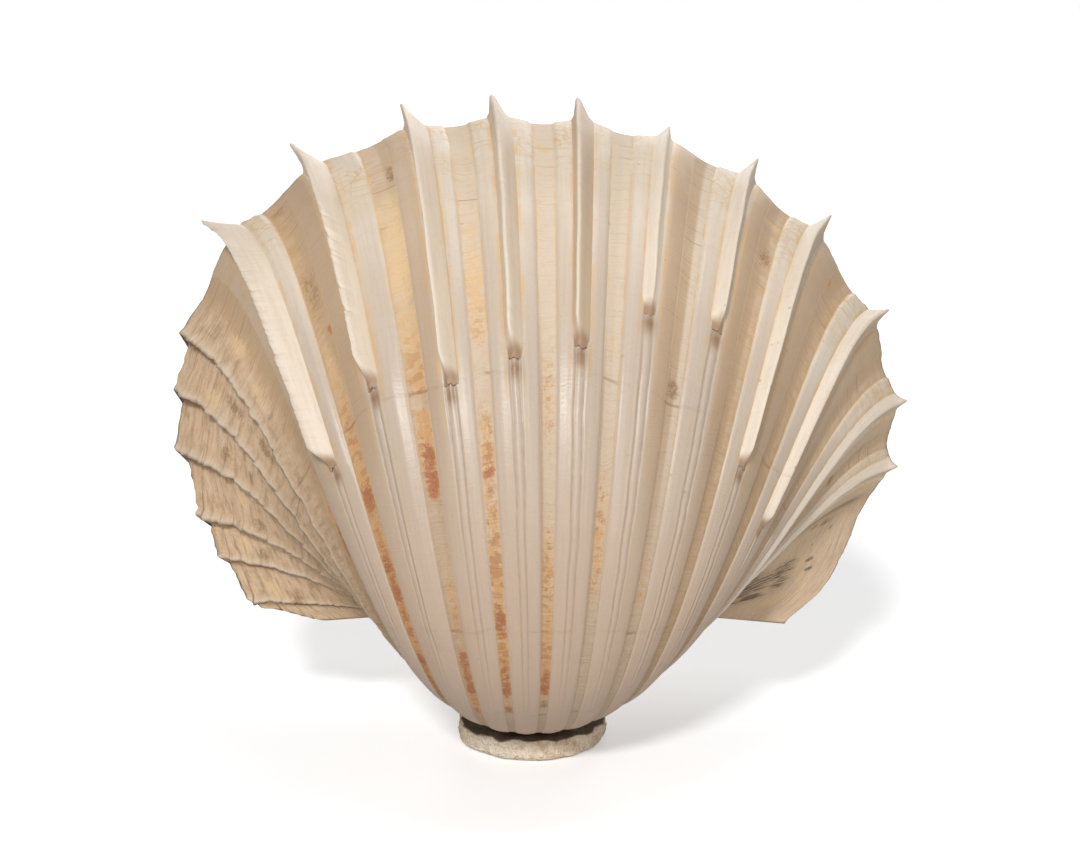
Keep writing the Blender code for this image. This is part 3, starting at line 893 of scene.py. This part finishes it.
# Left and right parts: the mask that lies over them, how much of it shows, and its colour
SIDE_LAYERS = (
    ("whole", 0.60, (0.76, 0.545, 0.36)),
    ("pale", 0.5, (0.74, 0.60, 0.46)),
    ("grey", 0.45, (0.37, 0.265, 0.185)),
    ("dark layers", 0.60, (0.43, 0.285, 0.165)),
    ("light layers", 0.45, (0.80, 0.65, 0.49)),
)
SLOPE_CREAM = (0.79, 0.61, 0.435)
CREST_CREAM = (0.84, 0.71, 0.55)
PORCELAIN = (0.86, 0.79, 0.70)
WARM_PORCELAIN = (0.80, 0.70, 0.59)
DEEP_PORCELAIN = (0.78, 0.56, 0.42)
SCAR = (0.74, 0.62, 0.50)
SCAR_RIM = (0.55, 0.42, 0.31)
STONE = (1.0, 0.83, 0.64)
STONE_GRAIN = (0.72, 0.53, 0.35)
STONE_PATCH = (0.95, 0.85, 0.68)
STONE_GRIT = (0.56, 0.37, 0.22)
STONE_SPECK = (0.16, 0.13, 0.10)
# Painted shadow on the top of the foot
STONE_TOP_SHADOW = (0.062, 0.038, 0.018)

# Stains of each kind: angle, growth turn, reach across, reach along, and how strong
STAINS = {
    "orange": (
        (-78.5, 14, 2, 3, 0.7), (-86.5, 16, 2, 4, 0.8), (-57.5, 18, 1.5, 6, 0.6),
        (-70, 24, 1.6, 3, 0.6), (-50, 36, 1, 6, 0.6), (-68.5, 45, 1.2, 6, 0.5),
        (-48.6, 24, 1.2, 5, 0.6), (-45.6, 70, 0.9, 5, 0.9), (-34, 50, 1.4, 6, 0.55),
        (-33.8, 56, 1.9, 9, 0.7), (-33.8, 63, 1.6, 4, 0.95), (-33.6, 69, 1.6, 3, 1),
        (-33.8, 80, 1.5, 4, 0.8), (-33.8, 96, 1.6, 24, 0.8), (-33.8, 99, 1.5, 2.5, 0.9),
        (-33.8, 104, 1.8, 30, 0.9), (-33.8, 119, 1.5, 5, 0.8), (-22, 6, 1.2, 2, 0.5),
        (-22.4, 14, 1.2, 1.8, 0.8), (-22, 28, 0.9, 2.5, 1), (-20, 30, 2, 8, 0.55),
        (-20, 38, 1.9, 10, 0.85), (-20.6, 42, 1.4, 3, 0.9), (-20, 48, 1.8, 6, 0.6),
        (-20, 51, 1.9, 6, 0.95), (-20, 56, 1.9, 2, 1), (-20, 57, 1.6, 2.6, 1), (-20, 64, 1.5, 3, 0.9),
        (-20, 67, 1.9, 5, 0.9), (-20, 96, 1.6, 14, 0.5), (-20, 122, 1.8, 12, 0.95),
        (-20, 125, 1.6, 5, 0.9), (-8.4, 16, 0.7, 1.8, 0.8), (-11.8, 18, 0.8, 2.2, 0.7),
        (-9.9, 36, 1.3, 4, 0.4), (-9.8, 41, 1.1, 1.6, 0.9), (-9.9, 46, 1.7, 9, 0.75),
        (-9.7, 51, 1.3, 5, 0.6), (-9.9, 70, 1.6, 9, 0.6), (-9.9, 82, 1.3, 10, 0.72),
        (-9.9, 90, 1.9, 12, 0.95), (-9.9, 96, 1.7, 16, 0.85), (-9.9, 108, 1.9, 12, 1),
        (-9.9, 112, 1.6, 2.4, 1), (-9.9, 116, 1.6, 10, 0.9), (0.4, 17, 1.2, 1.5, 0.6),
        (0.4, 62, 1.5, 10, 0.45), (0.4, 88, 1.3, 8, 0.62), (0.4, 96, 1.6, 16, 0.75),
        (0.4, 104, 1.8, 16, 0.9), (0.4, 110.5, 1.5, 2.6, 0.95), (0.4, 114, 1.5, 9, 0.9),
        (32.2, 13, 1.2, 1.8, 0.55), (86.5, 14, 1.4, 2, 0.7), (83.5, 19, 1.4, 2.2, 0.9),
        (46.8, 23, 0.8, 3, 0.9), (80.5, 24, 1.5, 2.5, 0.9), (89, 25, 1.8, 4, 0.9),
        (46.6, 31, 0.7, 3, 0.8), (62.9, 37, 0.9, 3, 1), (57, 40, 1, 8, 0.5), (10.2, 54, 1, 3, 0.4),
        (10.2, 84, 1.5, 14, 0.6), (20.8, 92, 1.4, 12, 0.4),
    ),
    "red": (
        (-45.2, 78, 0.8, 5, 0.9), (-32.2, 43, 0.8, 1.3, 0.8), (-33.8, 73, 1.5, 3, 1),
        (-33.8, 87, 1.5, 3, 1), (-33.8, 92, 1.4, 18, 0.62), (-33.8, 93.5, 1.5, 3, 1),
        (-33.8, 112, 1.5, 3, 1), (-33.8, 122, 1.4, 12, 0.7), (-33.8, 129, 1.5, 5, 0.9),
        (-20, 70, 1.5, 3.4, 0.9), (-20, 74, 1.4, 2.2, 1), (-20, 110.5, 1.6, 4, 0.95),
        (-20, 117, 1.6, 3.5, 0.9), (-20, 118, 1.5, 7, 0.9), (-20, 130, 1.5, 1.6, 1),
        (-9.9, 73, 1.3, 2, 0.6), (-9.9, 100, 1.6, 5, 0.9), (-9.9, 114, 1.5, 9, 0.66),
        (-9.9, 117.5, 1.5, 2.6, 1), (-9.9, 118, 1.6, 4, 1), (-9.9, 127, 1.4, 1.8, 0.95),
        (0.4, 116.5, 1.4, 3, 1), (0.4, 117, 1.5, 5, 0.95), (41.5, 11, 1.3, 2.2, 0.7),
    ),
    "brown": (
        # The brown marks at (-63.6, 23), (-55.8, 27), (-73, 30), (-64.2, 34), (-84, 40) and (-55.6, 43) are
        # painted shade in the gaps under the scales
        (-79.5, 22, 1.5, 4, 0.7), (-63.6, 23, 1.2, 2.5, 0.9), (-88.5, 26, 2, 4, 0.7),
        (-55.8, 27, 1, 4, 0.9), (-73, 30, 1.5, 5, 0.6), (-64.2, 34, 1.2, 2, 0.8),
        (-84, 40, 2.5, 6, 0.5), (-55.6, 43, 0.9, 5, 0.9), (-33.6, 8, 2.2, 3, 0.5),
        (-33.8, 34, 2, 8, 0.5), (-18.8, 19, 0.9, 2.4, 0.9), (0.4, 124.5, 1.3, 2.2, 0.85),
        (75, 15, 0.5, 1.4, 0.7), (73.4, 21, 0.4, 3.4, 0.9), (77.4, 22.5, 0.6, 0.8, 0.9),
        (31.8, 24, 1.1, 3, 0.7), (73.2, 28, 0.4, 2.6, 0.8), (64.2, 33, 0.9, 2, 1),
        (20.6, 58, 1.3, 1.8, 0.8),
    ),
    "slate": (
        (82.4, 17, 0.3, 2.2, 1.7), (80.2, 19.5, 0.3, 2.2, 1.7),
    ),
    "streak": (
        (84, 32, 3, 7, 0.6), (80.5, 36, 2.6, 9, 0.9), (81.8, 46, 2.8, 12, 1.1), (87, 48, 2.4, 14, 0.8),
        (83, 57, 2.8, 13, 1.2), (78.5, 60, 2, 14, 0.7), (84.5, 68, 2.8, 14, 1.2),
    ),
}


def stain_mask(made, kind):
    """Writes one kind of stains on the points of a piece. Between keeled ribs they stay in the spaces."""
    count = len(made.data.vertices)
    read = {}
    for label in ("angle", "growth", "band"):
        read[label] = np.empty(count, np.float32)
        made.data.attributes[label].data.foreach_get("value", read[label])
    mask = np.zeros(count)
    for at, turn, wide, long, strong in STAINS[kind]:
        mask = np.maximum(mask, strong * bump(at, wide, read["angle"]) * bump(turn, long, read["growth"]))
    between_ribs = (read["angle"] > SPACES[0] + 1.5) & (read["angle"] < SPACES[-1] - 3.0)
    mask *= np.where(between_ribs, read["band"], 1.0)
    layer = made.data.attributes.new(kind, "FLOAT", "POINT")
    layer.data.foreach_set("value", mask.astype(np.float32))


class Coat:
    """A colour that is built up layer by layer."""

    def __init__(self, nodes, colour):
        self.nodes = nodes
        self.colour = colour

    def lay(self, colour, *shares, kind="MIX"):
        """Lays a colour over what is there; the share of it is the product of the shares."""
        self.colour = self.nodes.mix(self.nodes.times(*shares), self.colour, colour, kind)


def new_material(name):
    """A material, with its nodes and its shader."""
    material = bpy.data.materials.new(name)
    material.use_nodes = True
    return material, Nodes(material.node_tree), material.node_tree.nodes["Principled BSDF"]


def add_relief(nodes, shader, height, strength, distance):
    plugs = {"Height": height, "Strength": strength, "Distance": distance}
    nodes.plug(shader.inputs["Normal"], nodes.node("ShaderNodeBump", plugs).outputs[0])


def shell_material(name, lines, tones):
    """Outside of the shell: cream ribs, tan spaces with growth lines, and blocky orange and red stains."""
    material, nodes, shader = new_material(name)
    add, less, times, between = nodes.add, nodes.less, nodes.times, nodes.between
    grown = nodes.use(lines, {"Lines": 1.0, "Seed": 2.0})
    tone = nodes.use(tones, {"Speck size": 1.0, "Seed": 0.0})
    line, blocks, check = grown["Line"], grown["Blocks"], grown["Check"]
    band, tint, growth, keel = (nodes.mask(label) for label in ("band", "tint", "growth", "keel"))
    left_part, right_slope = nodes.mask("left part"), nodes.mask("right slope")
    sides = nodes.make("MAXIMUM", left_part, right_slope)
    streaks = nodes.growth_noise(1.7, 0.06, 3.0, 0.6)
    toward_beak = between(growth, 52.0, 104.0)
    upper = less(1.0, between(growth, 12.0, 30.0))

    # Ribs: cream, duller toward the beak, with tan lines and blocks near the margin
    rib = Coat(nodes, PALE_CREAM)
    rib.lay(WARM_CREAM, between(tone["Tone"], 0.30, 0.72))
    rib.lay(MIDDLE_CREAM, between(growth, 18.0, 46.0), 0.75)
    rib.lay(BEAK_CREAM, toward_beak)
    rib.lay(FINE_LINE, line, upper, 0.55)
    rib.lay(RIB_BLOCK, between(blocks, 0.66, 0.94), upper, 0.30)
    patchy = between(nodes.growth_noise(0.10, 0.10, 2.0, 0.5), 0.40, 0.56)
    broad_lines = between(nodes.growth_noise(0.16, 0.75, 3.0, 0.6), 0.56, 0.68)
    rib.lay(LINE_ORANGE, grown["Seams"], upper, patchy, 0.9)
    rib.lay(BROAD_LINE, broad_lines, upper, 0.8)
    rib.lay(KEEL_CREAM, keel, 0.90)
    rib.lay(RIB_STREAK, between(streaks, 0.42, 0.66), 0.22)

    # Spaces: peach to tan, in blocks between growth lines
    uneven = add(times(tone["Tone"], 0.5), times(blocks, 0.5))
    browner = add(tint, times(less(uneven, 0.5), 0.55))
    lined = times(add(0.16, times(tint, 0.35)), less(1.0, times(sides, 0.7)))
    space = Coat(nodes, PEACH)
    space.lay(TAN, between(browner, 0.10, 1.0))
    space.lay(DEEP_TAN, toward_beak, 0.35)
    space.lay(DEEP_TAN, line, lined)
    space.lay(CREAM, between(blocks, 0.72, 0.95), 0.22)

    # Sides of the ribs that face away from the light
    away = Coat(nodes, SHADED_SIDE_TAN)
    away.lay(DEEP_TAN, line, 0.35)
    away.lay(PALE_SHADED_SIDE_TAN, between(tone["Tone"], 0.45, 0.75), 0.6)
    coat = Coat(nodes, rib.colour)
    coat.lay(space.colour, band)
    coat.lay(away.colour, nodes.mask("tan and painted shade"), 0.9)

    # Left and right parts: streaked along the ribs
    layered = nodes.growth_noise(0.35, 0.55, 4.0, 0.6)
    side_masks = {
        "whole": 1.0,
        "pale": between(streaks, 0.52, 0.70),
        "grey": between(nodes.growth_noise(0.5, 0.16, 4.0, 0.65), 0.52, 0.72),
        "dark layers": between(layered, 0.50, 0.66),
        "light layers": between(layered, 0.47, 0.34),
    }
    for label, most, colour in SIDE_LAYERS:
        coat.lay(colour, sides, side_masks[label], most)
    coat.lay(SLOPE_CREAM, right_slope, 0.5)
    coat.lay(CREST_CREAM, nodes.mask("worn crest"), 0.75)

    # Stains keep to blocks between growth lines
    mottle = nodes.growth_noise(2.2, 1.3, 4.0, 0.65)
    grainy = add(times(blocks, 0.42), 0.13)
    for noisy, weight in ((grown["Height"], 1.6), (mottle, 2.3), (tone["Tone"], 0.6), (tone["Grain"], 1.1)):
        grainy = add(grainy, times(less(noisy, 0.5), weight))
    stained_low = between(growth, 42.0, 66.0)
    orange = Coat(nodes, PALE_ORANGE)
    orange.lay(ORANGE, stained_low)
    orange.lay(DEEP_ORANGE, between(blocks, 0.45, 0.8), stained_low)
    red = Coat(nodes, DEEP_RED)
    red.lay(RED, between(mottle, 0.38, 0.60))
    # Kind of stain: its wash and how strong that is, its own colour and how much of it shows at most
    for kind, wash, washed, shade, most in (
        ("orange", PALE_ORANGE, 0.85, orange.colour, 0.90),
        ("red", ORANGE, 0.85, red.colour, 0.90),
        ("brown", DEEP_TAN, 0.30, BROWN, 0.75),
        ("slate", DEEP_TAN, 0.30, SLATE, 0.85),
        ("streak", DEEP_TAN, 0.35, DARK, 0.85),
    ):
        mask = nodes.mask(kind)
        share = between(streaks, 0.40, 0.58) if kind == "streak" else add(0.46, grainy)
        coat.lay(wash, between(mask, 0.12, 0.60), times(add(0.45, grainy), washed))
        coat.lay(shade, between(times(mask, share), 0.18, 0.62), most)

    coat.lay(BROWN, check, add(0.10, times(band, 0.42)))
    coat.lay(MOTTLE_SHADE, between(mottle, 0.50, 0.72), 0.30, kind="MULTIPLY")
    broken = between(nodes.growth_noise(0.2, 0.20, 3.0, 0.6), 0.36, 0.60)
    coat.lay(LINE_ORANGE, nodes.mask("keel line"), broken, 0.85)
    # Brown in grooves, painted shade in holes, pits and under the scales, and painted shadow lines beside the
    # ribs
    coat.lay(GROOVE_BROWN_AND_SHADE, nodes.mask("grooves_and_shade"), 0.75)
    coat.lay(BROWN, tone["Specks"], 0.45)
    # Toward the beak the shell is darker: painted shade where it faces down, away from the key light
    coat.lay(PAINTED_BEAK_SHADE, between(growth, 28.0, 62.0), less(1.0, keel), kind="MULTIPLY")
    nodes.plug(shader.inputs["Base Color"], coat.colour)

    dull = add(0.37, times(band, 0.20))
    dull = add(dull, times(nodes.make("MAXIMUM", upper, keel), 0.16))
    dull = add(dull, times(sides, 0.14))
    dull = add(dull, times(less(tone["Tone"], 0.5), 0.25))
    nodes.plug(shader.inputs["Roughness"], dull)
    relief = times(grown["Height"], add(add(0.26, times(upper, 0.5)), times(band, 0.75)))
    relief = add(relief, times(tone["Grain"], add(0.06, times(sides, 0.12))))
    relief = less(relief, times(check, add(0.10, times(band, 0.35))))
    add_relief(nodes, shader, relief, 0.6, 0.00045)
    shader.inputs["IOR"].default_value = 1.55
    return material


def porcelain_material(name, tones):
    """Inside of the shell: smooth pale porcelain, duller toward the margin and the muscle scars."""
    material, nodes, shader = new_material(name)
    add, less, times, between = nodes.add, nodes.less, nodes.times, nodes.between
    tone = nodes.use(tones, {"Speck size": 1.0, "Seed": 4.0})
    growth = nodes.mask("growth")
    margin = less(1.0, between(growth, 3.0, 16.0))
    # Two muscle scars, one near each end of the hinge: duller ovals with a darker rim
    aside = nodes.make("DIVIDE", less(nodes.make("ABSOLUTE", nodes.mask("angle")), 66.0), 13.0)
    along = nodes.make("DIVIDE", less(growth, 30.0), 13.0)
    off = add(times(aside, aside), times(along, along))
    off = add(off, times(less(tone["Tone"], 0.5), 0.9))
    scar = less(1.0, between(off, 0.75, 1.0))
    coat = Coat(nodes, PORCELAIN)
    coat.lay(WARM_PORCELAIN, between(tone["Tone"], 0.35, 0.75))
    coat.lay(TAN, margin, 0.6)
    coat.lay(DEEP_PORCELAIN, between(growth, 70.0, 140.0), 0.35)
    coat.lay(SCAR, scar, 0.30)
    coat.lay(SCAR_RIM, scar, between(off, 0.45, 0.95), 0.35)
    coat.lay(BROWN, tone["Specks"], 0.3)
    nodes.plug(shader.inputs["Base Color"], coat.colour)
    nodes.plug(shader.inputs["Roughness"], add(add(0.22, times(margin, 0.3)), times(scar, 0.2)))
    fine = nodes.growth_noise(0.05, 0.5, 3.0, 0.6)
    add_relief(nodes, shader, add(fine, times(tone["Grain"], 0.15)), 0.25, 0.0004)
    shader.inputs["IOR"].default_value = 1.53
    return material


def stone_material(name, tones):
    """Pale granular stone with darker grains, and painted shadow on its top under the beak."""
    material, nodes, shader = new_material(name)
    tone = nodes.use(tones, {"Speck size": 1.3, "Seed": 8.0})
    where = nodes.node("ShaderNodeTexCoord").outputs["Object"]
    grains = nodes.noise(where, 700.0, 4.0, 0.7)
    fine = nodes.noise(where, 2600.0, 3.0, 0.7)
    pits = nodes.node("ShaderNodeTexVoronoi", {"Vector": where, "Scale": 620.0}).outputs["Distance"]
    normal = nodes.node("ShaderNodeNewGeometry").outputs["Normal"]
    faces_up = nodes.node("ShaderNodeSeparateXYZ", {0: normal}).outputs[2]
    coat = Coat(nodes, STONE_GRAIN)
    coat.lay(STONE, nodes.between(grains, 0.34, 0.52))
    coat.lay(STONE_PATCH, nodes.between(tone["Tone"], 0.42, 0.70))
    coat.lay(STONE_GRIT, nodes.between(fine, 0.54, 0.66), 0.50)
    coat.lay(STONE_SPECK, tone["Specks"], 0.8)
    # Painted shadow on the faces that look up, under the shell's beak
    coat.lay(STONE_TOP_SHADOW, nodes.between(faces_up, 0.45, 0.8), 0.9)
    nodes.plug(shader.inputs["Base Color"], coat.colour)
    shader.inputs["Roughness"].default_value = 0.9
    shader.inputs["Specular IOR Level"].default_value = 0.2
    height = nodes.less(nodes.add(grains, nodes.times(pits, 0.5)), nodes.times(fine, 0.3))
    add_relief(nodes, shader, height, 1.0, 0.0009)
    return material


# Camera, floor and light

def make_camera():
    """Looks at the shell from its height on the photograph, about 28 cm away."""
    beak = Vector((-FOOT_MIDDLE[0], -FOOT_MIDDLE[1], -FOOT_MIDDLE[2])) * 0.001
    down = math.radians(17.0)
    distance = 0.2778
    camera = bpy.data.cameras.new("camera")
    camera.sensor_width = 36.0
    camera.lens = 66.7
    made = placed("camera", camera)
    made.location = beak + Vector((0.00035, -distance * math.cos(down), distance * math.sin(down)))
    made.rotation_euler = (math.radians(90.0 - 11.95), 0.0, 0.0)
    bpy.context.scene.camera = made


def make_sun(name, direction, power, wide):
    """A broad far lamp that shines from the given direction."""
    lamp = bpy.data.lights.new(name, "SUN")
    lamp.energy = power
    lamp.angle = math.radians(wide)
    placed(name, lamp).rotation_euler = Vector(direction).to_track_quat("Z", "Y").to_euler()


def make_studio():
    scene = bpy.context.scene
    scene.view_settings.view_transform = "Standard"
    world = bpy.data.worlds.new("pale studio")
    scene.world = world
    world.use_nodes = True
    sky = world.node_tree.nodes["Background"]
    sky.inputs["Color"].default_value = (1.0, 1.0, 1.0, 1.0)
    # The far backdrop is seen as pale as the floor, and lights the shell more softly than that
    nodes = Nodes(world.node_tree)
    seen = nodes.node("ShaderNodeLightPath").outputs["Is Camera Ray"]
    nodes.plug(sky.inputs["Strength"], nodes.add(SKY_LIGHT, nodes.times(seen, SKY_SEEN - SKY_LIGHT)))
    make_sun("key", (-0.18, -0.80, 0.66), 1.74, 9.0)
    make_sun("fill", (0.22, -0.96, 0.12), 0.60, 30.0)
    make_sun("overhead", (0.15, 0.20, 0.95), 0.50, 25.0)
    make_sun("behind", (0.10, 0.95, 0.16), 0.80, 30.0)
    bpy.ops.mesh.primitive_plane_add(size=40.0, location=(0.0, 0.0, 0.0))
    floor = bpy.context.object
    floor.name = "floor"
    material, nodes, shader = new_material("pale floor")
    seen = nodes.node("ShaderNodeLightPath").outputs["Is Camera Ray"]
    nodes.plug(shader.inputs["Base Color"], nodes.mix(seen, (0.66, 0.65, 0.63), (0.97, 0.97, 0.97)))
    nodes.plug(shader.inputs["Emission Color"], nodes.mix(seen, (0.0, 0.0, 0.0), (0.32, 0.325, 0.33)))
    shader.inputs["Emission Strength"].default_value = 1.0
    shader.inputs["Roughness"].default_value = 0.9
    floor.data.materials.append(material)


def main():
    make_camera()
    tones = grime_group()
    outside = shell_material("shell outside", growth_line_group(), tones)
    inside = porcelain_material("shell inside", tones)
    stone = stone_material("rough stone", tones)
    tree = coil_tree()
    shell = shell_piece(tree, outside, inside)
    keels = [keel_piece(number, tree, outside) for number in range(len(KEELED))]
    for piece in [shell] + keels:
        for kind in STAINS:
            stain_mask(piece, kind)
        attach(piece, "root")
        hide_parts("valve")
    foot = foot_piece(stone)
    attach(foot, "root")
    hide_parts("foot")
    make_studio()


main()
